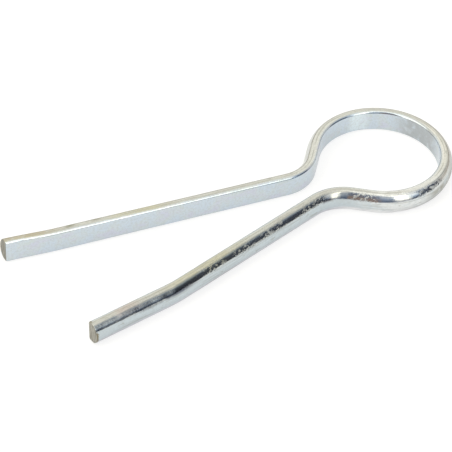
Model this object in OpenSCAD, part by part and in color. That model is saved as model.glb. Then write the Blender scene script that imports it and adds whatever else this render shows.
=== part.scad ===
// Hitch clip bent from one length of D-shaped wire, in the form of a split pin with its legs spread.
// The wire's flat side faces the inside of the eye and of both legs, and its round side faces out.
// The clip lies flat: the origin is the middle of the eye, half way up the wire, +Z is up,
// and the straight leg runs along -X.

/* [Wire] */
// Height of the wire, across its flat side
wire_h = 5; // [4:0.1:6.5]
// Thickness of the wire, from its flat side to the top of its round side
wire_t = 2.8; // [2.4:0.1:3.6]
// Radius of the two corners beside the flat side
flat_corner_r = 0.45; // [0.3:0.05:0.8]
// Radius of the round side
crown_r = 3.5; // [3:0.1:4.5]
// Radius of the two shoulders between the round side and the edges of the wire
shoulder_r = 1; // [0.6:0.05:1.2]

/* [Eye] */
// Radius of the eye, measured to the wire's flat side
eye_r = 12.7; // [10:0.1:16]
// Angle at the middle of the eye between the two ends of its arc
eye_gap = 75.4; // [68:0.2:86]

/* [Straight leg] */
// Radius of the reverse bend between the eye and the straight leg, to the flat side
back_neck_r = 11.6; // [8:0.1:14]
// Angle between the straight leg and the middle line of the clip
straight_leg_lean = 14.4; // [8:0.1:18]
// Length of the straight leg, from the end of its bend to its cut end
straight_leg_l = 60.4; // [40:0.1:80]

/* [Front leg] */
// Radius of the reverse bend between the eye and the front leg, to the flat side
front_neck_r = 12.2; // [8:0.1:14]
// Angle between the front leg and the middle line of the clip
front_leg_lean = 7.7; // [4:0.1:12]
// Length of the front leg, from the end of its bend to the slight bend near its tip
front_leg_l = 36.2; // [25:0.1:50]
// Radius of the slight bend near the tip, to the flat side
tip_bend_r = 26; // [18:1:40]
// Angle of the slight bend, which turns the tip towards the straight leg
tip_bend_turn = 7.2; // [3:0.2:12]
// Length of the tip, from the slight bend to its cut end
tip_l = 17.2; // [8:0.1:25]

/* [Cut ends] */
// Radius of the edge that the cutter rolled over at the bottom of each cut end
end_roll_r = 0.8; // [0.6:0.05:1.2]

/* [Bends] */
// Depth by which bending draws in the surface of the wire all round
bend_draw = 0.01; // [0.006:0.002:0.02]

/* [Hidden] */
$fn = 96;
zinc = [0.78, 0.79, 0.80];
// Length by which each bend runs on inside the straight wire at its ends
bend_lap = 0.2;
// Size of a rolled edge's arc against its radius, so that it crosses the faces and doesn't only graze them
roll_crossing = 1.04;
// Half of the angle that the eye leaves open
half_gap = eye_gap / 2;
// Middle of the arc of the round side, out from the flat side
crown_x = wire_t - crown_r;
// Middles of the flat side's corners and of the shoulders, up from the middle of the wire
corner_y = wire_h / 2 - flat_corner_r;
shoulder_y = wire_h / 2 - shoulder_r;
// A shoulder's arc runs smoothly into the round side, so their middles are in line with where they meet
shoulder_x = crown_x + sqrt(pow(crown_r - shoulder_r, 2) - pow(shoulder_y, 2));
crown_edge_angle = atan2(shoulder_y, shoulder_x - crown_x);

// The part of a disc beyond the straight line between two angles on its edge, less than 180 apart
module disc_cap(r, from, to) {
    start = r * [cos(from), sin(from)];
    end = r * [cos(to), sin(to)];
    outwards = r * [cos((from + to) / 2), sin((from + to) / 2)];
    intersection() {
        circle(r);
        polygon([start, start + outwards, end + outwards, end]);
    }
}

// Outline of the wire with X out from the flat side and Y up, drawn in all round by a depth
module wire_outline(draw) {
    h = wire_h / 2 - draw;
    corner = flat_corner_r - draw;
    shoulder = shoulder_r - draw;
    crown = crown_r - draw;
    edge = [crown_x + crown * cos(crown_edge_angle), crown * sin(crown_edge_angle)];
    polygon([
        [draw, -corner_y], [flat_corner_r, -h], [shoulder_x, -h], [edge[0], -edge[1]],
        edge, [shoulder_x, h], [flat_corner_r, h], [draw, corner_y]
    ]);
    translate([crown_x, 0]) disc_cap(crown, -crown_edge_angle, crown_edge_angle);
    for (side = [0, 1]) mirror([0, side]) {
        translate([flat_corner_r, corner_y]) disc_cap(corner, 90, 180);
        translate([shoulder_x, shoulder_y]) disc_cap(shoulder, crown_edge_angle, 90);
    }
}

// A straight run of wire along +X from the origin, with its round side towards +Y
module wire_run(l) {
    rotate([90, 0, 90]) linear_extrude(l) wire_outline(0);
}

// A bend that starts at the origin along +X and turns left, towards the round side
module bend_out(r, turn) {
    lap = bend_lap / r * 180 / PI;
    translate([0, r]) rotate([0, 0, -90 - lap])
        rotate_extrude(angle = turn + 2 * lap) translate([r, 0]) mirror([1, 0]) wire_outline(bend_draw);
}

// What follows that bend
module after_bend_out(r, turn) {
    translate([0, r]) rotate([0, 0, turn]) translate([0, -r]) children();
}

// A bend that starts at the origin along +X and turns right, towards the flat side
module bend_in(r, turn) {
    lap = bend_lap / r * 180 / PI;
    translate([0, -r]) rotate([0, 0, 90 - turn - lap])
        rotate_extrude(angle = turn + 2 * lap) translate([r, 0]) wire_outline(bend_draw);
}

// What follows that bend
module after_bend_in(r, turn) {
    translate([0, -r]) rotate([0, 0, -turn]) translate([0, r]) children();
}

// What the cutter rolled away from the bottom edge of a wire whose cut end is at X = 0
module end_roll() {
    side = wire_t + 2 * flat_corner_r;
    translate([0, side - flat_corner_r, -wire_h / 2]) rotate([90, 0, 0]) linear_extrude(side)
        difference() {
            translate([-end_roll_r, -end_roll_r]) square(2 * end_roll_r);
            translate([-end_roll_r, end_roll_r]) circle(end_roll_r * roll_crossing);
        }
}

// A straight run that ends in a cut end
module cut_run(l) {
    difference() {
        wire_run(l);
        translate([l, 0]) end_roll();
    }
}

// What follows the upper end of the eye's arc
module after_eye() {
    rotate([0, 0, half_gap]) translate([eye_r, 0]) rotate([0, 0, -90]) children();
}

module eye() {
    rotate([0, 0, half_gap]) rotate_extrude(angle = 360 - eye_gap) translate([eye_r, 0]) wire_outline(0);
}

// The turn of a neck, which leads from the eye's arc to a leg at its lean
function neck_turn(lean) = 90 - half_gap + lean;

module straight_leg() {
    turn = neck_turn(straight_leg_lean);
    after_eye() {
        bend_out(back_neck_r, turn);
        after_bend_out(back_neck_r, turn) cut_run(straight_leg_l);
    }
}

module front_leg() {
    turn = neck_turn(front_leg_lean);
    after_eye() {
        bend_out(front_neck_r, turn);
        after_bend_out(front_neck_r, turn) {
            wire_run(front_leg_l);
            translate([front_leg_l, 0]) {
                bend_in(tip_bend_r, tip_bend_turn);
                after_bend_in(tip_bend_r, tip_bend_turn) cut_run(tip_l);
            }
        }
    }
}

// The whole clip, turned so that the straight leg runs along -X
module r_clip() {
    color(zinc) rotate([0, 0, 180 + straight_leg_lean]) union() {
        eye();
        mirror([0, 1]) straight_leg();
        front_leg();
    }
}

r_clip();
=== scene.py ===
"""Looks of a hitch clip that is bent from one length of D-shaped, zinc plated spring wire.

The wire is drawn once as an outline, and then pulled along the straight leg, the back neck, the eye,
the front neck, the front leg and its tip, as it lies in the frame. Lengths are in metres. Headings
are in radians, counted from +X towards +Y, and the angles among the fields are in degrees.
"""

import logging
import math
from dataclasses import dataclass, field
from enum import Enum

import bpy
from mathutils import Matrix, Vector

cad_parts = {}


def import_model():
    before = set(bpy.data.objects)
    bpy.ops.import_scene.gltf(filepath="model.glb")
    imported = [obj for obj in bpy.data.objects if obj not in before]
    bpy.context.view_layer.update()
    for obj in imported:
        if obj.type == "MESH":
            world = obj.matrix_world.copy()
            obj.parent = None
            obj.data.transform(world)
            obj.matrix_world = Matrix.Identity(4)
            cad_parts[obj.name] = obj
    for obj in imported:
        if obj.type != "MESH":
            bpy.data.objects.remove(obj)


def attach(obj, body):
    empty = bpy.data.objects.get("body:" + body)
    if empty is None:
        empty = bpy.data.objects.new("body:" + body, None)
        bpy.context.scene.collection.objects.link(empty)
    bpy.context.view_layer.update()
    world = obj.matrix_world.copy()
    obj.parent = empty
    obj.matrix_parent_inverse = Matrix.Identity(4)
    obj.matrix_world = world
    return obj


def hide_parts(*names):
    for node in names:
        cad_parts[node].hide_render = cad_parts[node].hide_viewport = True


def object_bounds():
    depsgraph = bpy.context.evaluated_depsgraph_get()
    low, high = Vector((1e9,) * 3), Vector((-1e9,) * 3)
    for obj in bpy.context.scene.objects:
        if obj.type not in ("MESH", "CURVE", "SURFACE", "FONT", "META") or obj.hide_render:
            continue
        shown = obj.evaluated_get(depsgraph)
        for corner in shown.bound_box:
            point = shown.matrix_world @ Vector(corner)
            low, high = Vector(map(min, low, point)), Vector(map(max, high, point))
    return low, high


MM = 0.001
UP = Vector((0, 0, 1))
RUN_ATTRIBUTE = "wire_run"

log = logging.getLogger("hitch_clip")


class Side(Enum):
    """The side of the wire that a bend turns towards."""

    CROWN = 1
    FLAT = -1


def plan_direction(heading: float) -> Vector:
    """Gives the level direction at an angle from +X.

    Args:
        heading: the angle in radians, counted from +X towards +Y.

    Returns:
        A vector of length 1.
    """
    return Vector((math.cos(heading), math.sin(heading), 0))


@dataclass(frozen=True)
class WireSection:
    """The D-shaped section of the wire: a flat side, two small corners, two shoulders and a crown.

    A point of it is given as out, away from the flat side, and up, from the middle of the wire.
    """

    height: float = 5 * MM
    thickness: float = 2.8 * MM
    corner_r: float = 0.52 * MM
    crown_r: float = 3.2 * MM
    shoulder_r: float = 1 * MM
    flat_margin: float = 0.08 * MM
    flat_steps: int = 8
    corner_steps: int = 6
    edge_steps: int = 3
    shoulder_steps: int = 6
    crown_steps: int = 16

    @property
    def crown_out(self) -> float:
        """Place of the middle of the crown's arc."""
        return self.thickness - self.crown_r

    @property
    def shoulder_up(self) -> float:
        """Height of the middle of a shoulder's arc."""
        return self.height / 2 - self.shoulder_r

    @property
    def shoulder_out(self) -> float:
        """Place of the middle of a shoulder's arc, which runs smoothly into the crown."""
        reach = self.crown_r - self.shoulder_r
        return self.crown_out + math.sqrt(reach**2 - self.shoulder_up**2)

    @property
    def crown_half_angle(self) -> float:
        """Angle from the middle of the crown to where a shoulder starts."""
        return math.atan2(self.shoulder_up, self.shoulder_out - self.crown_out)

    def draw(self, start: Vector, out: Vector) -> None:
        """Draws the outline from one vertex, and leaves its loop of edges selected in edit mode.

        Args:
            start: the middle of the flat side at the place of the outline.
            out: the level direction from the flat side to the crown.
        """
        axis = out.cross(UP)
        corner_up = self.height / 2 - self.corner_r
        crown_angle = self.crown_half_angle

        def place(outwards: float, upwards: float) -> Vector:
            """Gives a point of the outline."""
            return start + out * outwards + UP * upwards

        def line(length: float, direction: Vector, steps: int) -> None:
            """Draws a straight stretch from the selected vertex."""
            bpy.ops.mesh.extrude_repeat(steps=steps, offset=direction * (length / steps))

        def arc(middle: Vector, angle: float, steps: int) -> None:
            """Draws an arc from the selected vertex."""
            bpy.ops.mesh.spin(steps=steps, angle=angle, center=middle, axis=axis)

        bpy.ops.mesh.primitive_plane_add(size=self.corner_r, location=place(0, -corner_up))
        bpy.ops.object.transform_apply(location=True, rotation=False, scale=False)
        bpy.ops.object.mode_set(mode="EDIT")
        bpy.ops.mesh.select_all(action="SELECT")
        bpy.ops.mesh.merge(type="CENTER")
        line(self.flat_margin, UP, 1)
        line(2 * (corner_up - self.flat_margin), UP, self.flat_steps)
        line(self.flat_margin, UP, 1)
        edge = self.shoulder_out - self.corner_r
        shoulder_angle = math.pi / 2 - crown_angle
        arc(place(self.corner_r, corner_up), math.pi / 2, self.corner_steps)
        line(edge, out, self.edge_steps)
        arc(place(self.shoulder_out, self.shoulder_up), shoulder_angle, self.shoulder_steps)
        arc(place(self.crown_out, 0), 2 * crown_angle, self.crown_steps)
        arc(place(self.shoulder_out, -self.shoulder_up), shoulder_angle, self.shoulder_steps)
        line(edge, -out, self.edge_steps)
        arc(place(self.corner_r, -corner_up), math.pi / 2, self.corner_steps)
        bpy.ops.mesh.select_all(action="SELECT")
        bpy.ops.mesh.remove_doubles(threshold=0.01 * MM)
        bpy.ops.mesh.select_all(action="SELECT")


@dataclass
class Run:
    """A straight stretch of the wire."""

    length: float

    def pull(self, start: Vector, heading: float, spacing: float) -> tuple[Vector, float]:
        """Pulls the selected outline along the stretch.

        Args:
            start: the point of the wire's flat side where the stretch starts.
            heading: the direction there, as an angle from +X.
            spacing: the distance between two outlines.

        Returns:
            The point and the heading at the other end.
        """
        steps = max(1, round(self.length / spacing))
        step = plan_direction(heading) * (self.length / steps)
        bpy.ops.mesh.extrude_repeat(steps=steps, offset=step)
        return self.end(start, heading)

    def end(self, start: Vector, heading: float) -> tuple[Vector, float]:
        """Gives the point and the heading at the other end of a stretch that starts here."""
        return start + plan_direction(heading) * self.length, heading

    def locate(self, start: Vector, heading: float, point: Vector) -> tuple[float, float]:
        """Finds a point of the wire beside the stretch.

        Args:
            start: the point of the flat side where the stretch starts.
            heading: the direction of the stretch.
            point: the point to find.

        Returns:
            The distance along the stretch and the distance out from the flat side.
        """
        along = plan_direction(heading)
        offset = point - start
        return offset.dot(along), offset.dot(UP.cross(along))


@dataclass
class Bend:
    """A stretch of the wire that turns at one radius, measured to its flat side.

    A point up to the angle before_start, in radians, ahead of the bend still counts as before it.
    """

    radius: float
    turn: float
    side: Side
    before_start: float = 0.1

    @property
    def length(self) -> float:
        """Length of the flat side along the bend."""
        return self.radius * math.radians(self.turn)

    def middle(self, start: Vector, heading: float) -> Vector:
        """Gives the middle of the bend's circle."""
        return start + UP.cross(plan_direction(heading)) * (self.side.value * self.radius)

    def pull(self, start: Vector, heading: float, spacing: float) -> tuple[Vector, float]:
        """Turns the selected outline round the bend.

        Args:
            start: the point of the wire's flat side where the bend starts.
            heading: the direction there, as an angle from +X.
            spacing: the distance between two outlines.

        Returns:
            The point and the heading at the other end.
        """
        bpy.ops.mesh.spin(
            steps=max(4, round(self.length / spacing)),
            angle=math.radians(self.turn),
            center=self.middle(start, heading),
            axis=-UP * self.side.value,
        )
        return self.end(start, heading)

    def end(self, start: Vector, heading: float) -> tuple[Vector, float]:
        """Finds the other end of the bend.

        Args:
            start: the point of the flat side where the bend starts.
            heading: the direction there.

        Returns:
            The point and the heading at the other end.
        """
        middle = self.middle(start, heading)
        angle = math.radians(self.turn) * self.side.value
        return middle + Matrix.Rotation(angle, 3, "Z") @ (start - middle), heading + angle

    def locate(self, start: Vector, heading: float, point: Vector) -> tuple[float, float]:
        """Finds a point of the wire beside the bend.

        Args:
            start: the point of the flat side where the bend starts.
            heading: the direction there.
            point: the point to find.

        Returns:
            The distance along the bend and the distance out from the flat side.
        """
        middle = self.middle(start, heading)
        first, spoke = (start - middle).xy, (point - middle).xy
        turned = -first.angle_signed(spoke, 0) * self.side.value
        if turned < -self.before_start:
            turned += 2 * math.pi
        return turned * self.radius, (self.radius - spoke.length) * self.side.value


@dataclass(frozen=True)
class Neck:
    """The reverse bend between a leg and the eye, with the short straight link that follows it.

    The leg's offset is how far its flat side lies past the middle of the eye, towards the other leg.
    Its reach is how far its far end lies from there, measured along it.
    """

    radius: float
    link_l: float
    leg_offset: float
    leg_reach: float

    def turn(self, eye_r: float) -> float:
        """Gives the turn that brings the wire from the leg's line to the eye's circle.

        Args:
            eye_r: the radius of the eye, to the flat side.

        Returns:
            The turn in degrees.
        """
        apart = math.hypot(self.radius + eye_r, self.link_l)
        skew = math.atan2(self.link_l, self.radius + eye_r)
        return math.degrees(math.acos((self.radius - self.leg_offset) / apart) - skew)

    def leg_l(self, eye_r: float) -> float:
        """Gives the length that is left for the leg, from its far end to the neck.

        Args:
            eye_r: the radius of the eye, to the flat side.

        Returns:
            The length in metres.
        """
        turn = math.radians(self.turn(eye_r))
        taken = (self.radius + eye_r) * math.sin(turn) + self.link_l * math.cos(turn)
        return self.leg_reach - taken


@dataclass
class CutEnd:
    """A cut end of the wire: its lower edge rolled over, its rim rounded, its face a little hollow.

    The slants are how far an end slopes in at its top and at its flat side.
    """

    roll_r: float = 0.55 * MM
    roll_steps: int = 8
    rim_r: float = 0.2 * MM
    rim_steps: int = 3
    top_slant: float = 0.15 * MM
    flat_slant: float = 0.36 * MM
    face_scales: tuple[float, ...] = (0.88, 0.7, 0.5)
    dish: float = 0.02 * MM

    def finish(self, point: Vector, outwards: Vector, height: float) -> None:
        """Carries the selected outline on to the cut end and closes it.

        Args:
            point: not used.
            outwards: the direction out of the cut end.
            height: the height of the wire.
        """
        pivot = 2 * self.roll_r - height / 2
        reach = self.roll_r - self.rim_r
        reached, kept = 0.0, 1.0
        for step in range(1, self.roll_steps + 1):
            ahead = reach * math.sin(math.pi / 2 * step / self.roll_steps)
            move = outwards * (ahead - reached)
            bpy.ops.mesh.extrude_edges_move(TRANSFORM_OT_translate={"value": move})
            lift = self.roll_r - math.sqrt(self.roll_r**2 - ahead**2)
            keep = 1 - lift / (2 * self.roll_r)
            self._squeeze_below(pivot, keep / kept)
            reached, kept = ahead, keep
        bpy.ops.mesh.edge_face_add()
        if selected_normal().dot(outwards) < 0:
            bpy.ops.mesh.flip_normals()
        inwards, ahead = 0.0, 0.0
        for step in range(1, self.rim_steps + 1):
            angle = math.pi / 2 * step / self.rim_steps
            next_inwards, next_ahead = self.rim_r * (1 - math.cos(angle)), self.rim_r * math.sin(angle)
            bpy.ops.mesh.inset(thickness=next_inwards - inwards, depth=next_ahead - ahead)
            inwards, ahead = next_inwards, next_ahead
        rim = list(selected_vertices().values())
        middle = sum(rim, Vector()) / len(rim)
        for scale in self.face_scales:
            move = outwards * -self.dish
            bpy.ops.mesh.extrude_region_move(TRANSFORM_OT_translate={"value": move})
            bpy.ops.transform.resize(value=(scale, scale, scale), center_override=middle)

    def slope(self, axis: Vector, towards: Vector, limit: float, inset: float, reach: float) -> None:
        """Slopes a cut end, so that it reaches less far on one side of the wire.

        Args:
            axis: the direction out of the cut end.
            towards: the direction to the side that reaches less far.
            limit: the place along that direction from which all of the end moves.
            inset: how far that side moves in.
            reach: the distance from there over which the move fades to nothing.
        """
        bpy.ops.mesh.select_all(action="SELECT")
        places = selected_vertices()
        end = max(place.dot(axis) for place in places.values())
        near = [
            index
            for index, place in places.items()
            if place.dot(towards) > limit and place.dot(axis) > end - self.roll_r
        ]
        select_vertices(near)
        bpy.ops.transform.translate(
            value=axis * -inset,
            use_proportional_edit=True,
            proportional_edit_falloff="LINEAR",
            proportional_size=reach,
        )

    @staticmethod
    def _squeeze_below(pivot: float, share: float) -> None:
        """Squeezes what lies lower in the selected outline up towards a level.

        Args:
            pivot: the level, as a height from the middle of the wire.
            share: the share of its height below the level that it keeps.
        """
        ring = selected_vertices()
        select_vertices([index for index, place in ring.items() if place.z < pivot])
        bpy.ops.transform.resize(value=(1, 1, share), center_override=(0, 0, pivot))
        select_vertices(list(ring))


def selected_vertices() -> dict[int, Vector]:
    """Reads the selection of the edited mesh.

    Returns:
        The places of the selected vertices, by their indices.
    """
    edited = bpy.context.edit_object
    edited.update_from_editmode()
    return {v.index: v.co.copy() for v in edited.data.vertices if v.select}


def selected_normal() -> Vector:
    """Reads which way the selected faces of the edited mesh point.

    Returns:
        The sum of their normals.
    """
    edited = bpy.context.edit_object
    edited.update_from_editmode()
    return sum((p.normal for p in edited.data.polygons if p.select), Vector())


def select_vertices(indices: list[int]) -> None:
    """Selects these vertices of the mesh that is being edited, and nothing else.

    Args:
        indices: the indices of the vertices.
    """
    bpy.ops.mesh.select_all(action="DESELECT")
    bpy.ops.object.mode_set(mode="OBJECT")
    mesh = bpy.context.object.data
    for index in indices:
        mesh.vertices[index].select = True
    bpy.ops.object.mode_set(mode="EDIT")
    bpy.ops.mesh.select_mode(type="VERT")


@dataclass
class NodeSheet:
    """The nodes of one material or world, with short calls for the nodes that the finishes use."""

    tree: bpy.types.NodeTree

    def add(self, kind: str, inputs: dict | None = None, **settings: object) -> bpy.types.Node:
        """Adds a node.

        Args:
            kind: the node's type.
            inputs: what goes into its sockets, by name or number, as a value or as another socket.
            settings: the node's own settings.

        Returns:
            The new node.
        """
        node = self.tree.nodes.new(kind)
        for name, value in settings.items():
            setattr(node, name, value)
        for name, value in (inputs or {}).items():
            if isinstance(value, bpy.types.NodeSocket):
                self.tree.links.new(value, node.inputs[name])
            else:
                node.inputs[name].default_value = value
        return node

    def math(self, operation: str, *values: object) -> bpy.types.NodeSocket:
        """Gives the result of one sum on values or sockets."""
        return self.add("ShaderNodeMath", dict(enumerate(values)), operation=operation).outputs[0]

    def vector(self, operation: str, *values: object) -> bpy.types.Node:
        """Adds one vector sum on values or sockets."""
        return self.add("ShaderNodeVectorMath", dict(enumerate(values)), operation=operation)

    def parts(self, vector: bpy.types.NodeSocket) -> bpy.types.NodeOutputs:
        """Gives the three parts of a vector."""
        return self.add("ShaderNodeSeparateXYZ", {0: vector}).outputs

    def away(self, value: bpy.types.NodeSocket, place: float) -> bpy.types.NodeSocket:
        """Gives how far a value is from a place, to either side."""
        return self.math("ABSOLUTE", self.math("SUBTRACT", value, place))

    def drawn_out(self, run: bpy.types.NodeSocket, along: float) -> bpy.types.NodeSocket:
        """Gives the wire's coordinates shortened along it, which draws a pattern out that way."""
        return self.vector("MULTIPLY", run, (along, 1, 1)).outputs[0]

    def rise(self, value: bpy.types.NodeSocket, low: float, high: float) -> bpy.types.NodeSocket:
        """Gives a smooth rise from 0 to 1, or a fall where low is above high.

        Args:
            value: what is measured.
            low: the value at which the result is 0.
            high: the value at which the result is 1.

        Returns:
            The socket with the result.
        """
        inputs = {"Value": value, "From Min": low, "From Max": high}
        return self.add("ShaderNodeMapRange", inputs, interpolation_type="SMOOTHSTEP").outputs[0]

    def mix(self, share: object, first: object, second: object) -> bpy.types.NodeSocket:
        """Gives a mix of two colours.

        Args:
            share: the share of the second colour, as a number or a socket.
            first: the first colour.
            second: the second colour.

        Returns:
            The socket with the mixed colour.
        """
        node = self.add("ShaderNodeMix", data_type="RGBA")
        for name, value in (("Factor_Float", share), ("A_Color", first), ("B_Color", second)):
            socket = next(s for s in node.inputs if s.identifier == name)
            if isinstance(value, bpy.types.NodeSocket):
                self.tree.links.new(value, socket)
            else:
                socket.default_value = value
        return next(s for s in node.outputs if s.identifier == "Result_Color")

    def noise(self, place: bpy.types.NodeSocket, size: float, layers: float) -> bpy.types.NodeSocket:
        """Gives a soft noise from 0 to 1.

        Args:
            place: the coordinates, in metres.
            size: the size of its patches, in metres.
            layers: how many finer layers it has.

        Returns:
            The socket with the noise.
        """
        inputs = {"Vector": place, "Scale": 1 / size, "Detail": layers}
        return self.add("ShaderNodeTexNoise", inputs).outputs[0]


def rgb(red: float, green: float, blue: float) -> tuple[float, float, float, float]:
    """Gives an opaque colour from its linear values."""
    return (red, green, blue, 1)


@dataclass(frozen=True)
class Pattern:
    """A soft random pattern on the wire, which rises to its strength while its noise rises.

    Size is the size of its patches and layers the number of finer ones in them. Low and high are
    the noise values between which it rises. Along is below 1 where it is drawn out along the wire.
    """

    size: float
    layers: float
    low: float
    high: float
    along: float = 1.0
    strength: float = 1.0

    def on(self, sheet: NodeSheet, run: bpy.types.NodeSocket) -> bpy.types.NodeSocket:
        """Lays the pattern on the wire.

        Args:
            sheet: the nodes of the material.
            run: the wire's own coordinates.

        Returns:
            The socket with the pattern's share at each place.
        """
        noise = sheet.noise(sheet.drawn_out(run, self.along), self.size, self.layers)
        return sheet.math("MULTIPLY", sheet.rise(noise, self.low, self.high), self.strength)


@dataclass(frozen=True)
class Tint:
    """A stretch of the surface that takes another colour by its place on the wire. Some are tints of the
    plating and some are painted reflections or painted shade.

    Middle and reach are measured along the wire, innermost and outermost out from its flat side,
    and lowest and highest up from the middle of its height.
    """

    name: str
    middle: float
    reach: float
    colour: tuple
    lowest: float = -4 * MM
    innermost: float = 0.4 * MM
    outermost: float = 4 * MM
    highest: float = 4 * MM
    full_reach: float = 0.3
    edge: float = 0.3 * MM
    top_edge: float = 0.5 * MM

    def share(
        self, sheet: NodeSheet, run: bpy.types.NodeSocket, patchy: bpy.types.NodeSocket
    ) -> bpy.types.NodeSocket:
        """Gives the share of the tint at each place.

        Args:
            sheet: the nodes of the material.
            run: the wire's own coordinates.
            patchy: the share of any tint that the surface takes.

        Returns:
            The socket with the share.
        """
        along, out, up = sheet.parts(run)
        share = sheet.rise(sheet.away(along, self.middle), self.reach, self.full_reach * self.reach)
        limits = (
            (up, self.lowest, self.edge),
            (out, self.innermost, self.edge),
            (out, self.outermost, -self.edge),
            (up, self.highest, -self.top_edge),
        )
        for value, limit, fade in limits:
            share = sheet.math("MULTIPLY", share, sheet.rise(value, limit - fade, limit + fade))
        return sheet.math("MULTIPLY", share, patchy)


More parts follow.
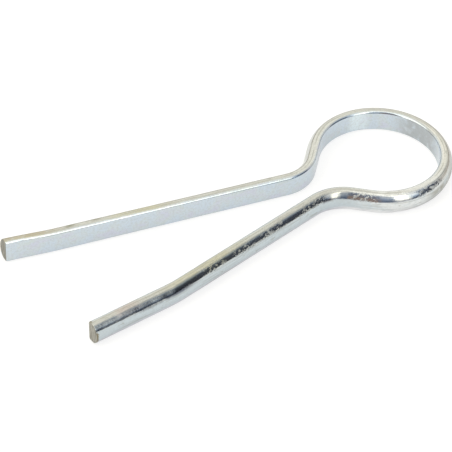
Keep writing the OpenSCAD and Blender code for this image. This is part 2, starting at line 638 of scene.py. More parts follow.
@dataclass(frozen=True)
class ZincFinish:
    """Bright zinc plating with a clear blue passivation over drawn wire, with painted reflections and
    painted shade in some of its colours.

    Where a field is a pair of places, what it names rises from nothing at the first one to its full
    share at the second one.
    """

    name: str = "bright_zinc"
    flat_tone: tuple = rgb(0.665, 0.75, 0.835)
    flat_cloud: tuple = rgb(0.68, 0.75, 0.775)
    flat_violet: tuple = rgb(0.68, 0.72, 0.82)
    crown_tone: tuple = rgb(0.665, 0.69, 0.665)
    crown_cloud: tuple = rgb(0.63, 0.645, 0.625)
    low_tone: tuple = rgb(0.615, 0.69, 0.735)
    # Painted reflection: the round side's low edge is coloured lighter, as the bright floor it mirrors.
    low_edge_painted_reflection: tuple = rgb(0.71, 0.71, 0.765)
    streak: tuple = rgb(0.40, 0.41, 0.38)
    stain: tuple = rgb(0.27, 0.24, 0.17)
    cloud: Pattern = Pattern(4 * MM, 4, 0.38, 0.62)
    violet: Pattern = Pattern(2.4 * MM, 3, 0.48, 0.7, along=0.6)
    patchy: Pattern = Pattern(1.6 * MM, 3, 0.2, 0.55)
    drawn_lines: Pattern = Pattern(0.34 * MM, 3, 0.5, 0.72, along=0.03, strength=0.55)
    die_break: Pattern = Pattern(3 * MM, 3, 0.35, 0.6, strength=0.55)
    dark_specks: Pattern = Pattern(0.8 * MM, 2, 0.64, 0.72, along=0.35, strength=0.5)
    dull_specks: Pattern = Pattern(0.5 * MM, 2, 0.52, 0.6, along=0.7)
    mottle: Pattern = Pattern(0.5 * MM, 3, 0.4, 0.7, strength=0.16)
    crown_from: tuple[float, float] = (0.2 * MM, 0.8 * MM)
    low_from: tuple[float, float] = (1.5 * MM, 1.1 * MM)
    low_edge_from: tuple[float, float] = (-0.4 * MM, -1.8 * MM)
    die_lines: tuple[float, ...] = (0.95 * MM, 1.7 * MM)
    die_line_from: tuple[float, float] = (0.16 * MM, 0.04 * MM)
    die_top_from: tuple[float, float] = (1.4 * MM, 1.9 * MM)
    stain_l: float = 0.75 * MM
    stain_patch: float = 0.6 * MM
    stain_ragged: float = 1.4
    stain_from: tuple[float, float] = (0.1 * MM, -0.2 * MM)
    roll_from: tuple[float, float] = (1.5 * MM, 0.9 * MM)
    burr_out_from: tuple[float, float] = (0.9 * MM, 0.5 * MM)
    burr_up_from: tuple[float, float] = (1.6 * MM, 2.0 * MM)
    tints: tuple[Tint, ...] = (
        Tint("straight_tip", 2 * MM, 13 * MM, rgb(0.56, 0.52, 0.40)),
        Tint("straight_leg", 29 * MM, 9 * MM, rgb(0.62, 0.62, 0.50)),
        Tint("near_spot", 14.3 * MM, 1.6 * MM, rgb(0.34, 0.35, 0.27), 2 * MM, 0.9 * MM, 2 * MM),
        Tint("far_spot", 19.8 * MM, 1.4 * MM, rgb(0.42, 0.42, 0.36), 2 * MM, 1.1 * MM, 2.2 * MM),
        # Painted reflection: the back neck is coloured lighter and greyer.
        Tint("back_neck", 74 * MM, 16 * MM, rgb(0.73, 0.755, 0.74)),
        # Painted shade: the eye's right side is coloured darker, in place of a dimmer floor in its
        # gloss.
        Tint("eye_right", 107 * MM, 15 * MM, rgb(0.53, 0.52, 0.50), innermost=1.5 * MM),
        # Painted reflection: the eye's near side is coloured lighter, in place of the bright floor near
        # the clip in its gloss.
        Tint("eye_near", 128 * MM, 13 * MM, rgb(0.82, 0.85, 0.86)),
        Tint("eye_inner", 111 * MM, 10 * MM, rgb(0.82, 0.83, 0.80), outermost=1.3 * MM),
        Tint("eye_turn", 119 * MM, 8 * MM, rgb(0.40, 0.40, 0.36), highest=1.0 * MM),
        # A darker band on the upper round side of the front neck.
        Tint("neck_stain", 146.5 * MM, 2.2 * MM, rgb(0.30, 0.31, 0.34), 1.0 * MM, highest=2.1 * MM),
        # Painted reflection: the low part of the eye's near side is coloured near white, as glare from
        # the floor.
        Tint("eye_low", 134 * MM, 13 * MM, rgb(0.96, 0.965, 0.98), highest=-1.0 * MM),
        Tint("front_leg", 180 * MM, 14 * MM, rgb(0.63, 0.63, 0.51), lowest=1.6 * MM),
        Tint("front_low", 176 * MM, 11 * MM, rgb(0.58, 0.59, 0.64), highest=-1.2 * MM),
        Tint("front_tip", 199 * MM, 4 * MM, rgb(0.61, 0.57, 0.55), lowest=1.6 * MM),
        # A darker band on the upper round side of the front leg towards its tip.
        Tint("tip_stain", 190 * MM, 9 * MM, rgb(0.18, 0.20, 0.25), 1.0 * MM, highest=1.9 * MM),
        Tint("flat_light", 89.4 * MM, 3 * MM, rgb(0.80, 0.90, 0.95), -4 * MM, -1 * MM, 0.2 * MM),
        Tint("flat_dim", 104 * MM, 8 * MM, rgb(0.49, 0.52, 0.54), -4 * MM, -1 * MM, 0.2 * MM),
    )
    smooth: float = 0.11
    dull: float = 0.19
    gloss_patch: float = 1.5 * MM
    gloss_from: tuple[float, float] = (0.3, 0.7)
    worn_tip_l: float = 22 * MM
    worn_tip: float = 0.03
    speck: float = 0.38
    speck_from: tuple[float, float] = (0.9 * MM, 1.4 * MM)
    pitted: tuple[tuple[float, float], ...] = (
        (124 * MM, 4 * MM),
        (137 * MM, 4 * MM),
        (151 * MM, 6 * MM),
        (162 * MM, 5 * MM),
        (170 * MM, 4 * MM),
        (178 * MM, 4 * MM),
    )
    pitted_full: float = 0.3
    pit_size: float = 0.42 * MM
    pit_depth: float = 0.06 * MM
    pits_elsewhere: float = 0.15
    pit_from: tuple[float, float] = (0.6 * MM, 1.3 * MM)
    pits_below: float = 0.2
    pit_up_from: tuple[float, float] = (0.7 * MM, 1.4 * MM)
    grain: float = 0.3 * MM
    grain_depth: float = 0.006 * MM
    die_mark: float = 0.6 * MM
    die_mark_along: float = 0.04
    die_mark_depth: float = 0.03 * MM
    wave: float = 2.6 * MM
    wave_depth: float = 0.07 * MM

    def material(self, length: float) -> bpy.types.Material:
        """Builds the material.

        Args:
            length: the length of the wire along its flat side, in metres.

        Returns:
            The material, which reads the wire's own coordinates from its attribute.
        """
        made = bpy.data.materials.new(self.name)
        made.use_nodes = True
        made.node_tree.nodes.clear()
        sheet = NodeSheet(made.node_tree)
        run = sheet.add("ShaderNodeAttribute", attribute_name=RUN_ATTRIBUTE).outputs["Vector"]
        inputs = {
            "Base Color": self._colour(sheet, run, length),
            "Metallic": 1.0,
            "Roughness": self._roughness(sheet, run, length),
            "Normal": self._surface(sheet, run),
        }
        shader = sheet.add("ShaderNodeBsdfPrincipled", inputs).outputs[0]
        sheet.add("ShaderNodeOutputMaterial", {"Surface": shader})
        return made

    def _colour(
        self, sheet: NodeSheet, run: bpy.types.NodeSocket, length: float
    ) -> bpy.types.NodeSocket:
        """Mixes the plating's tones and tints with painted reflections and shade, its drawn lines and
        the stains beside the cut ends.

        Args:
            sheet: the nodes of the material.
            run: the wire's own coordinates.
            length: the length of the wire.

        Returns:
            The socket with the colour.
        """
        crown = sheet.rise(sheet.parts(run)[1], *self.crown_from)
        colour = self._tone(sheet, run, crown)
        patchy = self.patchy.on(sheet, run)
        for tint in self.tints:
            colour = sheet.mix(tint.share(sheet, run, patchy), colour, tint.colour)
        colour = sheet.mix(self._streaks(sheet, run, crown), colour, self.streak)
        colour = sheet.mix(self.mottle.on(sheet, run), colour, self.streak)
        return sheet.mix(self._stains(sheet, run, crown, length), colour, self.stain)

    def _tone(
        self, sheet: NodeSheet, run: bpy.types.NodeSocket, crown: bpy.types.NodeSocket
    ) -> bpy.types.NodeSocket:
        """Gives the tones of the flat side and of the round side, with its low part and its low edge,
        which is coloured lighter as a painted reflection of the bright floor.

        Args:
            sheet: the nodes of the material.
            run: the wire's own coordinates.
            crown: the share of the round side.

        Returns:
            The socket with the colour.
        """
        up = sheet.parts(run)[2]
        cloud = self.cloud.on(sheet, run)
        flat = sheet.mix(cloud, self.flat_tone, self.flat_cloud)
        flat = sheet.mix(self.violet.on(sheet, run), flat, self.flat_violet)
        round_side = sheet.mix(cloud, self.crown_tone, self.crown_cloud)
        round_side = sheet.mix(sheet.rise(up, *self.low_from), round_side, self.low_tone)
        # Painted reflection: the low edge is coloured lighter.
        round_side = sheet.mix(sheet.rise(up, *self.low_edge_from), round_side, self.low_edge_painted_reflection)
        return sheet.mix(crown, flat, round_side)

    def _streaks(
        self, sheet: NodeSheet, run: bpy.types.NodeSocket, crown: bpy.types.NodeSocket
    ) -> bpy.types.NodeSocket:
        """Gives the share of the round side's drawn lines, die lines along its top, and specks.

        Args:
            sheet: the nodes of the material.
            run: the wire's own coordinates.
            crown: the share of the round side.

        Returns:
            The socket with the share.
        """
        _, out, up = sheet.parts(run)
        top = sheet.rise(up, *self.die_top_from)
        broken = sheet.math("MULTIPLY", top, self.die_break.on(sheet, run))
        streaks = self.drawn_lines.on(sheet, run)
        for place in self.die_lines:
            line = sheet.rise(sheet.away(out, place), *self.die_line_from)
            streaks = sheet.math("MAXIMUM", streaks, sheet.math("MULTIPLY", line, broken))
        streaks = sheet.math("MAXIMUM", streaks, self.dark_specks.on(sheet, run))
        return sheet.math("MULTIPLY", streaks, crown)

    def _stains(
        self,
        sheet: NodeSheet,
        run: bpy.types.NodeSocket,
        crown: bpy.types.NodeSocket,
        length: float,
    ) -> bpy.types.NodeSocket:
        """Gives the share of the ragged stains beside the cut ends.

        The front leg's end is stained below, at its rolled edge, and at the burr on its upper
        corner, and the straight leg's end on its round side.

        Args:
            sheet: the nodes of the material.
            run: the wire's own coordinates.
            crown: the share of the round side.
            length: the length of the wire.

        Returns:
            The socket with the share.
        """
        along, out, up = sheet.parts(run)
        to_end = sheet.math("MINIMUM", along, sheet.math("SUBTRACT", length, along))
        ragged = sheet.noise(run, self.stain_patch, 2)
        ragged = sheet.math("MULTIPLY", ragged, self.stain_ragged * self.stain_l)
        stained = sheet.rise(sheet.math("SUBTRACT", to_end, ragged), *self.stain_from)
        burr = sheet.math(
            "MULTIPLY", sheet.rise(out, *self.burr_out_from), sheet.rise(up, *self.burr_up_from)
        )
        front = sheet.math("GREATER_THAN", along, length / 2)
        front_place = sheet.math("MAXIMUM", sheet.rise(up, *self.roll_from), burr)
        front_place = sheet.math("MULTIPLY", front, front_place)
        back_place = sheet.math("MULTIPLY", sheet.math("SUBTRACT", 1.0, front), crown)
        place = sheet.math("MAXIMUM", front_place, back_place)
        return sheet.math("MULTIPLY", stained, place)

    def _worn(self, sheet: NodeSheet, run: bpy.types.NodeSocket) -> bpy.types.NodeSocket:
        """Gives how far each place lies in one of the stretches that handling has pitted.

        Args:
            sheet: the nodes of the material.
            run: the wire's own coordinates.

        Returns:
            The socket with the share, from 0 to 1.
        """
        along = sheet.parts(run)[0]
        worn = 0.0
        for middle, reach in self.pitted:
            stretch = sheet.rise(sheet.away(along, middle), reach, self.pitted_full * reach)
            worn = sheet.math("MAXIMUM", stretch, worn)
        return worn

    def _roughness(
        self, sheet: NodeSheet, run: bpy.types.NodeSocket, length: float
    ) -> bpy.types.NodeSocket:
        """Gives a gloss that varies in patches, is worn at the front tip and has dull specks.

        Args:
            sheet: the nodes of the material.
            run: the wire's own coordinates.
            length: the length of the wire.

        Returns:
            The socket with the roughness.
        """
        along, _, up = sheet.parts(run)
        low, high = self.gloss_from
        inputs = {"Value": sheet.noise(run, self.gloss_patch, 4), "From Min": low, "From Max": high}
        inputs |= {"To Min": self.smooth, "To Max": self.dull}
        gloss = sheet.add("ShaderNodeMapRange", inputs).outputs[0]
        worn = sheet.rise(along, length - self.worn_tip_l, length - self.worn_tip_l / 3)
        gloss = sheet.math("MULTIPLY_ADD", worn, self.worn_tip, gloss)
        specks = sheet.math("MULTIPLY", self.dull_specks.on(sheet, run), self._worn(sheet, run))
        specks = sheet.math("MULTIPLY", specks, sheet.rise(up, *self.speck_from))
        return sheet.math("MULTIPLY_ADD", specks, self.speck, gloss)

    def _surface(self, sheet: NodeSheet, run: bpy.types.NodeSocket) -> bpy.types.NodeSocket:
        """Gives the fine relief: pits on the round side, grain, lines drawn along the wire, waves.

        Args:
            sheet: the nodes of the material.
            run: the wire's own coordinates.

        Returns:
            The socket with the surface's direction.
        """
        _, out, up = sheet.parts(run)
        upper = sheet.rise(up, *self.pit_up_from)
        shares = (
            self._at_least(sheet, self._worn(sheet, run), self.pits_elsewhere),
            self._at_least(sheet, upper, self.pits_below),
            sheet.rise(out, *self.pit_from),
        )
        pits = sheet.math("SUBTRACT", sheet.noise(run, self.pit_size, 2), 0.5)
        for share in shares:
            pits = sheet.math("MULTIPLY", pits, share)
        drawn = sheet.drawn_out(run, self.die_mark_along)
        layers = (
            (pits, self.pit_depth),
            (sheet.noise(run, self.grain, 1), self.grain_depth),
            (sheet.noise(drawn, self.die_mark, 2), self.die_mark_depth),
            (sheet.noise(run, self.wave, 1), self.wave_depth),
        )
        relief = None
        for height, depth in layers:
            inputs = {"Strength": 1.0, "Distance": depth, "Height": height}
            if relief is not None:
                inputs["Normal"] = relief
            relief = sheet.add("ShaderNodeBump", inputs).outputs[0]
        return relief

    @staticmethod
    def _at_least(
        sheet: NodeSheet, share: bpy.types.NodeSocket, least: float
    ) -> bpy.types.NodeSocket:
        """Gives a share that rises from a least value to 1 where the given one rises from 0 to 1."""
        return sheet.math("MULTIPLY_ADD", share, 1 - least, least)


@dataclass(frozen=True)
class CutFinish:
    """The dull face that the cutter leaves across the wire, with tear lines down it."""

    name: str = "cut_face"
    light: tuple = rgb(0.46, 0.45, 0.40)
    dark: tuple = rgb(0.27, 0.26, 0.22)
    tear_size: float = 0.3 * MM
    tear_drawn: float = 0.15
    tear_from: tuple[float, float] = (0.4, 0.7)
    tear_depth: float = 0.03 * MM
    # Painted shade: the straight leg's cut face is coloured darker by this share.
    straight_end_painted_shade: float = 0.84
    front_leg_from: float = 100 * MM
    roughness: float = 0.5

    def material(self) -> bpy.types.Material:
        """Builds the material.

        Returns:
            The material, with painted shade that makes it a little darker at the straight leg's end than
            at the front one.
        """
        made = bpy.data.materials.new(self.name)
        made.use_nodes = True
        made.node_tree.nodes.clear()
        sheet = NodeSheet(made.node_tree)
        run = sheet.add("ShaderNodeAttribute", attribute_name=RUN_ATTRIBUTE).outputs["Vector"]
        torn = sheet.vector("MULTIPLY", run, (1, 1, self.tear_drawn)).outputs[0]
        tears = sheet.noise(torn, self.tear_size, 3)
        colour = sheet.mix(sheet.rise(tears, *self.tear_from), self.light, self.dark)
        # Painted shade: darker colour on the straight leg's cut face.
        front = sheet.math("GREATER_THAN", sheet.parts(run)[0], self.front_leg_from)
        share = sheet.add("ShaderNodeMapRange", {"Value": front, "To Min": self.straight_end_painted_shade})
        colour = sheet.vector("MULTIPLY", colour, share.outputs[0]).outputs[0]
        bump = {"Strength": 1.0, "Distance": self.tear_depth, "Height": tears}
        relief = sheet.add("ShaderNodeBump", bump).outputs[0]
        inputs = {"Base Color": colour, "Metallic": 1.0}
        inputs |= {"Roughness": self.roughness, "Normal": relief}
        shader = sheet.add("ShaderNodeBsdfPrincipled", inputs).outputs[0]
        sheet.add("ShaderNodeOutputMaterial", {"Surface": shader})
        return made


@dataclass
class BentWire:
    """The clip: one D-shaped wire with a straight leg, two necks, an eye and a front leg.

    The legs are apart by an angle, and the outlines along the wire by the spacing. A face near a cut
    end is dull where its normal has at least the share dull_from along the way out of that end, with
    one value for the straight leg and one for the front leg. The straight leg's tip leans back and
    turns a little, and both fade to nothing over lean_reach. The waves only go inwards and the wire
    keeps a little less than its full height, so that it stays within the size of its solid.
    """

    section: WireSection = field(default_factory=WireSection)
    cut_end: CutEnd = field(default_factory=CutEnd)
    finish: ZincFinish = field(default_factory=ZincFinish)
    cut_finish: CutFinish = field(default_factory=CutFinish)
    eye_r: float = 12.7 * MM
    back_neck: Neck = Neck(9.4 * MM, 5.2 * MM, 1.988 * MM, 82.718 * MM)
    front_neck: Neck = Neck(10.2 * MM, 4 * MM, -0.25 * MM, 57.764 * MM)
    legs_apart: float = 22.1
    tip_bend_r: float = 26 * MM
    tip_bend_turn: float = 7.2
    tip_l: float = 17.35 * MM
    spacing: float = 0.4 * MM
    dull_from: tuple[float, float] = (0.3, 0.8)
    lean_back: float = 0.25 * MM
    lean_turn: float = 4.0
    lean_reach: float = 11 * MM
    kept_height: float = 0.995
    wave_l: float = 5 * MM
    wave_depth: float = 0.04 * MM
    smooth_below: float = 38
    slack: float = 0.6 * MM

    def __post_init__(self) -> None:
        """Lists the stretches of the wire from the straight leg's cut end to the front leg's."""
        back_turn = self.back_neck.turn(self.eye_r)
        front_turn = self.front_neck.turn(self.eye_r)
        self.straight_leg = Run(self.back_neck.leg_l(self.eye_r))
        self.before_eye = [
            self.straight_leg,
            Bend(self.back_neck.radius, back_turn, Side.CROWN),
            Run(self.back_neck.link_l),
        ]
        self.eye = Bend(self.eye_r, 180 + back_turn + front_turn - self.legs_apart, Side.FLAT)
        self.stretches = [
            *self.before_eye,
            self.eye,
            Run(self.front_neck.link_l),
            Bend(self.front_neck.radius, front_turn, Side.CROWN),
            Run(self.front_neck.leg_l(self.eye_r)),
            Bend(self.tip_bend_r, self.tip_bend_turn, Side.FLAT),
            Run(self.tip_l),
        ]

    @property
    def length(self) -> float:
        """Length of the whole wire along its flat side."""
        return sum(stretch.length for stretch in self.stretches)

    def first_point(self) -> Vector:
        """Finds where the wire starts, so that the eye lies round the origin.

        Returns:
            The flat side's point at the straight leg's cut end.
        """
        point, heading = Vector(), 0.0
        for stretch in self.before_eye:
            point, heading = stretch.end(point, heading)
        return -self.eye.middle(point, heading)

    def build(self) -> bpy.types.Object:
        """Makes the wire's mesh and dresses it.

        Returns:
            The finished piece.
        """
        bpy.ops.object.select_all(action="DESELECT")
        first_way = plan_direction(0)
        start = self.first_point() + first_way * self.cut_end.roll_r
        self.section.draw(start, UP.cross(first_way))
        wire = bpy.context.edit_object
        wire.name = wire.data.name = "clip_wire"
        last_way = self._pull(start)
        self._finish_first_end(start)
        bpy.ops.mesh.select_all(action="SELECT")
        bpy.ops.mesh.remove_doubles(threshold=0.005 * MM)
        bpy.ops.mesh.normals_make_consistent(inside=False)
        self._slope_first_end()
        bpy.ops.object.mode_set(mode="OBJECT")
        self._store_run(wire)
        bpy.ops.object.mode_set(mode="EDIT")
        self._lean_tip()
        bpy.ops.mesh.select_all(action="SELECT")
        bpy.ops.transform.resize(value=(1, 1, self.kept_height), center_override=(0, 0, 0))
        bpy.ops.object.mode_set(mode="OBJECT")
        self._wave(wire)
        bpy.ops.object.shade_smooth_by_angle(angle=math.radians(self.smooth_below))
        self._dress(wire, (-first_way, last_way))
        return wire

    def _pull(self, start: Vector) -> Vector:
        """Pulls the selected outline along all of the wire and closes its front end.

        Args:
            start: the point of the flat side at the outline, which is short of the end by the roll.

        Returns:
            The direction out of the front leg's cut end.
        """
        roll = self.cut_end.roll_r
        first = Run(self.straight_leg.length - roll)
        last = Run(self.tip_l - roll)
        point, heading = start, 0.0
        for stretch in (first, *self.stretches[1:-1], last):
            point, heading = stretch.pull(point, heading, self.spacing)
        self.cut_end.finish(point, plan_direction(heading), self.section.height)
        return plan_direction(heading)

    def _finish_first_end(self, start: Vector) -> None:
        """Selects the first outline again and closes the straight leg's cut end.

        Args:
            start: the point of the flat side at that outline.
        """
        bpy.ops.mesh.select_all(action="SELECT")
        near = 0.01 * MM
        select_vertices([i for i, place in selected_vertices().items() if abs(place.x - start.x) < near])
        self.cut_end.finish(start, -plan_direction(0), self.section.height)

    def _slope_first_end(self) -> None:
        """Slopes the straight leg's cut end inwards at its top and at its flat side."""
        axis, top = -plan_direction(0), self.section.height / 2 - self.section.corner_r
        flat_side = UP.cross(axis)
        flat = self.first_point().dot(flat_side) - self.section.corner_r
        across = self.section.thickness - self.section.corner_r
        self.cut_end.slope(axis, UP, top, self.cut_end.top_slant, 2 * top)
        self.cut_end.slope(axis, flat_side, flat, self.cut_end.flat_slant, across)

    def _lean_tip(self) -> None:
        """Leans the straight leg's tip back a little, as the cutter left it."""
        bpy.ops.mesh.select_all(action="SELECT")
        end_x = self.first_point().x + self.cut_end.roll_r
        select_vertices([i for i, place in selected_vertices().items() if place.x < end_x])
        soft = {
            "use_proportional_edit": True,
            "proportional_edit_falloff": "SMOOTH",
            "proportional_size": self.lean_reach,
        }
        pivot = (end_x, self.first_point().y + self.section.shoulder_out, -self.section.height / 2)
        bpy.ops.transform.translate(value=(0, self.lean_back, 0), **soft)
        bpy.ops.transform.rotate(
            value=math.radians(self.lean_turn), orient_axis="X", center_override=pivot, **soft
        )

    def _wave(self, wire: bpy.types.Object) -> None:
        """Gives the surface the shallow waves that bending and drawing leave.

        Args:
            wire: the piece.
        """
        waves = bpy.data.textures.new("drawn_waves", "CLOUDS")
        waves.noise_scale = self.wave_l
        modifier = wire.modifiers.new("drawn_waves", "DISPLACE")
        modifier.texture = waves
        modifier.texture_coords = "LOCAL"
        modifier.strength = self.wave_depth
        modifier.mid_level = 1.0
        bpy.ops.object.modifier_apply(modifier=modifier.name)

    def _dress(self, wire: bpy.types.Object, ends: tuple[Vector, Vector]) -> None:
        """Gives the wire its plating and its cut faces their dull finish.

        Args:
            wire: the piece.
            ends: the directions out of the two cut ends.
        """
        wire.data.materials.append(self.finish.material(self.length))
        wire.data.materials.append(self.cut_finish.material())
        near = 2 * self.cut_end.roll_r
        for face in wire.data.polygons:
            along = self.on_wire(face.center).x
            if min(along, self.length - along) < near:
                turned = [face.normal.dot(end) for end in ends]
                dull = any(facing > limit for facing, limit in zip(turned, self.dull_from))
                face.material_index = int(dull)

    def _store_run(self, wire: bpy.types.Object) -> None:
        """Stores at each vertex its place on the unbent wire: along, out and up.

        Args:
            wire: the piece.
        """
        attribute = wire.data.attributes.new(RUN_ATTRIBUTE, "FLOAT_VECTOR", "POINT")
        for vertex, stored in zip(wire.data.vertices, attribute.data):
            stored.vector = self.on_wire(vertex.co)

    def on_wire(self, point: Vector) -> Vector:
        """Finds a point's place on the unbent wire.

        Args:
            point: a point on the wire's surface.

        Returns:
            Its distances along the wire, out from the flat side and up from the middle.
        """
        start, heading = self.first_point(), 0.0
        before, found = 0.0, None
        for stretch in self.stretches:
            along, out = stretch.locate(start, heading, point)
            beside = -self.slack <= along <= stretch.length + self.slack
            if beside and -self.slack <= out <= self.section.thickness + self.slack:
                found = Vector((before + along, out, point.z))
            before += stretch.length
            start, heading = stretch.end(start, heading)
        if found is None:
            raise ValueError(f"no stretch of the wire holds the point {tuple(point)}")
        return found


@dataclass(frozen=True)
class Wall:
    """A stretch of the studio's walls, as a range of compass angles, with its colours by height.

    Compass angles count clockwise from +Y, and heights from the floor, both in degrees.
    """

    name: str
    compass: tuple[float, float]
    fade: float
    colours: tuple[tuple[float, tuple], ...]


@dataclass
class Studio:
    """A white floor, soft light from all round, and the walls that the gloss of the wire shows.

    The floor gives back a shade of the light on it, and glows by a little more. It has one such pair
    for what the camera sees and one for what the wire mirrors. Its plain white lights the wire.
    """

    floor_size: float = 3.0
    floor_white: float = 0.86
    camera_shade: float = 0.35
    camera_glow: float = 0.74
    gloss_shade: float = 0.52
    gloss_glow: float = 0.44
    room: Wall = Wall(
        "cream_room",
        (0, 360),
        0,
        (
            (0, rgb(0.62, 0.58, 0.52)),
            (14, rgb(0.72, 0.69, 0.62)),
            (28, rgb(1.04, 1.00, 0.90)),
            (47, rgb(1.04, 1.00, 0.90)),
            (55, rgb(0.76, 0.73, 0.64)),
            (64, rgb(1.20, 1.15, 1.04)),
            (78, rgb(1.40, 1.36, 1.24)),
            (90, rgb(1.45, 1.40, 1.28)),
        ),
    )
    walls: tuple[Wall, ...] = (
        Wall(
            "dim_side",
            (64, 108),
            16,
            (
                (0, rgb(0.66, 0.60, 0.53)),
                (24, rgb(0.72, 0.69, 0.64)),
                (50, rgb(0.60, 0.60, 0.58)),
                (64, rgb(0.62, 0.62, 0.60)),
                (78, rgb(1.10, 1.06, 0.98)),
            ),
        ),
        Wall(
            "dark_side",
            (103, 144),
            8,
            (
                (0, rgb(0.045, 0.05, 0.065)),
                (27, rgb(0.07, 0.08, 0.11)),
                (36, rgb(0.20, 0.24, 0.30)),
                (50, rgb(0.38, 0.43, 0.50)),
                (60, rgb(1.02, 1.00, 0.94)),
            ),
        ),
        Wall(
            "blue_side",
            (140, 162),
            7,
            (
                (0, rgb(0.03, 0.045, 0.08)),
                (9, rgb(0.05, 0.07, 0.12)),
                (17, rgb(0.55, 0.65, 0.78)),
                (28, rgb(0.98, 1.02, 1.04)),
                (42, rgb(1.05, 1.04, 1.00)),
                (60, rgb(1.20, 1.13, 1.00)),
            ),
        ),
        Wall(
            "dark_front",
            (160, 206),
            6,
            (
                (0, rgb(0.07, 0.09, 0.14)),
                (12, rgb(0.16, 0.20, 0.28)),
                (27, rgb(0.30, 0.36, 0.46)),
                (46, rgb(0.55, 0.58, 0.62)),
                (68, rgb(0.95, 0.94, 0.92)),
            ),
        ),
        Wall(
            "brown_front",
            (203, 240),
            8,
            (
                (0, rgb(0.29, 0.20, 0.165)),
                (22, rgb(0.31, 0.235, 0.20)),
                (34, rgb(0.17, 0.19, 0.25)),
                (56, rgb(0.25, 0.29, 0.38)),
                (74, rgb(0.95, 0.94, 0.92)),
            ),
        ),
        Wall(
            "right_box",
            (157, 178),
            3,
            (
                (4, rgb(0.30, 0.30, 0.34)),
                (16, rgb(2.0, 1.95, 1.75)),
                (72, rgb(2.0, 1.95, 1.75)),
                (84, rgb(1.45, 1.40, 1.28)),
            ),
        ),
        Wall(
            "left_box",
            (237, 294),
            6,
            (
                (2, rgb(0.30, 0.30, 0.34)),
                (14, rgb(2.0, 1.95, 1.75)),
                (68, rgb(2.0, 1.95, 1.75)),
                (84, rgb(1.45, 1.40, 1.28)),
            ),
        ),
    )

    def build(self, level: float) -> bpy.types.Object:
        """Makes the floor and the world.

        Args:
            level: the height of the floor.

        Returns:
            The floor.
        """
        bpy.ops.mesh.primitive_plane_add(size=self.floor_size, location=(0, 0, level))
        floor = bpy.context.object
        floor.name = floor.data.name = "studio_floor"
        floor.data.transform(floor.matrix_world)
        floor.matrix_world = Matrix.Identity(4)
        floor.data.materials.append(self._floor_material())
        self._world()
        return floor

    def _floor_material(self) -> bpy.types.Material:
        """Builds the floor's white, which keeps a soft shadow of the clip.

        Returns:
            The material.
        """
        made = bpy.data.materials.new("studio_white")
        made.use_nodes = True
        made.node_tree.nodes.clear()
        sheet = NodeSheet(made.node_tree)
        path = sheet.add("ShaderNodeLightPath").outputs
        clear = sheet.math("MAXIMUM", path["Is Camera Ray"], path["Is Transmission Ray"])
        look = self._white(sheet, self.floor_white, 0)
        in_gloss = self._white(sheet, self.gloss_shade, self.gloss_glow)
        in_camera = self._white(sheet, self.camera_shade, self.camera_glow)
        for share, seen in ((path["Is Glossy Ray"], in_gloss), (clear, in_camera)):
            look = sheet.add("ShaderNodeMixShader", {0: share, 1: look, 2: seen}).outputs[0]
        sheet.add("ShaderNodeOutputMaterial", {"Surface": look})
        return made

    @staticmethod
    def _white(sheet: NodeSheet, shade: float, glow: float) -> bpy.types.NodeSocket:
        """Gives a white that takes its share of light and shadow, and glows besides.

        Args:
            sheet: the nodes of the material.
            shade: the share of the light that it gives back.
            glow: how much it glows.

        Returns:
            The socket with the shader.
        """
        matt = sheet.add("ShaderNodeBsdfDiffuse", {"Color": rgb(shade, shade, shade)}).outputs[0]
        glow_inputs = {"Color": rgb(1, 1, 1), "Strength": glow}
        glowing = sheet.add("ShaderNodeEmission", glow_inputs).outputs[0]
        return sheet.add("ShaderNodeAddShader", {0: matt, 1: glowing}).outputs[0]

    def _world(self) -> None:
        """Builds the light from all round, with its panels."""
        world = bpy.data.worlds.new("studio_light")
        world.use_nodes = True
        world.node_tree.nodes.clear()
        bpy.context.scene.world = world
        sheet = NodeSheet(world.node_tree)
        direction = sheet.add("ShaderNodeTexCoord").outputs["Generated"]
        parts = sheet.add("ShaderNodeSeparateXYZ", {0: direction}).outputs
        height = sheet.math("DEGREES", sheet.math("ARCSINE", parts["Z"]))
        compass = sheet.math("DEGREES", sheet.math("ARCTAN2", parts["X"], parts["Y"]))
        turn = sheet.math("MULTIPLY", sheet.math("LESS_THAN", compass, 0.0), 360.0)
        compass = sheet.math("ADD", compass, turn)
        share = sheet.math("DIVIDE", height, 90.0)
        colour = self._by_height(sheet, share, self.room)
        for wall in self.walls:
            inside = self._inside(sheet, compass, wall.compass, wall.fade)
            colour = sheet.mix(inside, colour, self._by_height(sheet, share, wall))
        camera = sheet.add("ShaderNodeLightPath").outputs["Is Camera Ray"]
        colour = sheet.mix(camera, colour, rgb(1, 1, 1))
        light = sheet.add("ShaderNodeBackground", {"Color": colour, "Strength": 1.0}).outputs[0]
        sheet.add("ShaderNodeOutputWorld", {"Surface": light})

    @staticmethod
    def _by_height(
        sheet: NodeSheet, share: bpy.types.NodeSocket, wall: Wall
    ) -> bpy.types.NodeSocket:
        """Gives a wall's colour at each height.

        Args:
            sheet: the nodes of the world.
            share: the height, as a share of the way up from the floor to straight overhead.
            wall: the wall.

        Returns:
            The socket with the colour.
        """
        node = sheet.add("ShaderNodeValToRGB", {0: share})
        node.label = wall.name
        stops = node.color_ramp.elements
        while len(stops) < len(wall.colours):
            stops.new(0.5)
        for stop, (height, colour) in zip(stops, wall.colours):
            stop.position = height / 90
            stop.color = colour
        return node.outputs[0]

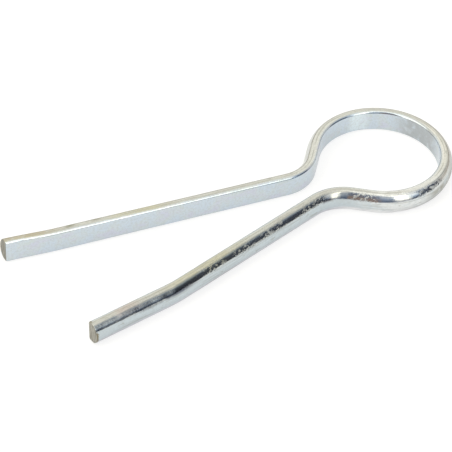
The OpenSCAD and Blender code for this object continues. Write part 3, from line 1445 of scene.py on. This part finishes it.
    @staticmethod
    def _inside(
        sheet: NodeSheet,
        value: bpy.types.NodeSocket,
        span: tuple[float, float],
        fade: float,
    ) -> bpy.types.NodeSocket:
        """Gives 1 inside a range and 0 outside it, with soft edges.

        Args:
            sheet: the nodes of the world.
            value: what is measured.
            span: the two ends of the range.
            fade: the width of each edge.

        Returns:
            The socket with the share.
        """
        low, high = span
        rise = sheet.rise(value, low - fade / 2, low + fade / 2)
        fall = sheet.rise(value, high + fade / 2, high - fade / 2)
        return sheet.math("MULTIPLY", rise, fall)


@dataclass(frozen=True)
class ViewPoint:
    """Where the camera stands, by its angles and its distance from what it aims at.

    An azimuth of 0 looks along +Y. The sensor's width and the lens are in millimetres.
    """

    azimuth: float = -22.078
    elevation: float = 42.3227
    roll: float = 1.6678
    distance: float = 376.868 * MM
    target: Vector = Vector((-38.0899 * MM, -8.7683 * MM, 0))
    sensor: float = 36.0
    lens: float = 148.036

    def build(self) -> bpy.types.Object:
        """Sets the camera up and makes it the scene's own.

        Returns:
            The camera.
        """
        turn, rise, roll = (math.radians(a) for a in (self.azimuth, self.elevation, self.roll))
        level = Vector((math.sin(turn), -math.cos(turn), 0))
        back = level * math.cos(rise) + UP * math.sin(rise)
        right = Vector((math.cos(turn), math.sin(turn), 0))
        up = back.cross(right)
        rolled_right = right * math.cos(roll) + up * math.sin(roll)
        rolled_up = up * math.cos(roll) - right * math.sin(roll)
        axes = Matrix((rolled_right, rolled_up, back)).transposed()
        place = self.target + back * self.distance
        bpy.ops.object.camera_add(location=place, rotation=axes.to_euler())
        camera = bpy.context.object
        camera.name = "photo_camera"
        camera.data.sensor_width = self.sensor
        camera.data.lens = self.lens
        camera.data.clip_start = 0.01
        bpy.context.scene.camera = camera
        return camera


def as_lists(bounds: object) -> list[list[float]]:
    """Turns a box of two corners into plain lists of numbers."""
    return [[float(value) for value in corner] for corner in bounds]


def main() -> None:
    """Builds the clip, its studio and its camera."""
    logging.basicConfig(level=logging.INFO, format="%(message)s")
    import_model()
    cad_bounds = as_lists(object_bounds())
    bpy.context.scene.view_settings.view_transform = "Standard"
    ViewPoint().build()
    wire = BentWire().build()
    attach(wire, "root")
    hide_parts("r_clip")
    log.info("%s: %d faces", wire.name, len(wire.data.polygons))
    floor = Studio().build(cad_bounds[0][2])
    log.info("%s: level %.4f m", floor.name, cad_bounds[0][2])


if __name__ == "__main__":
    main()
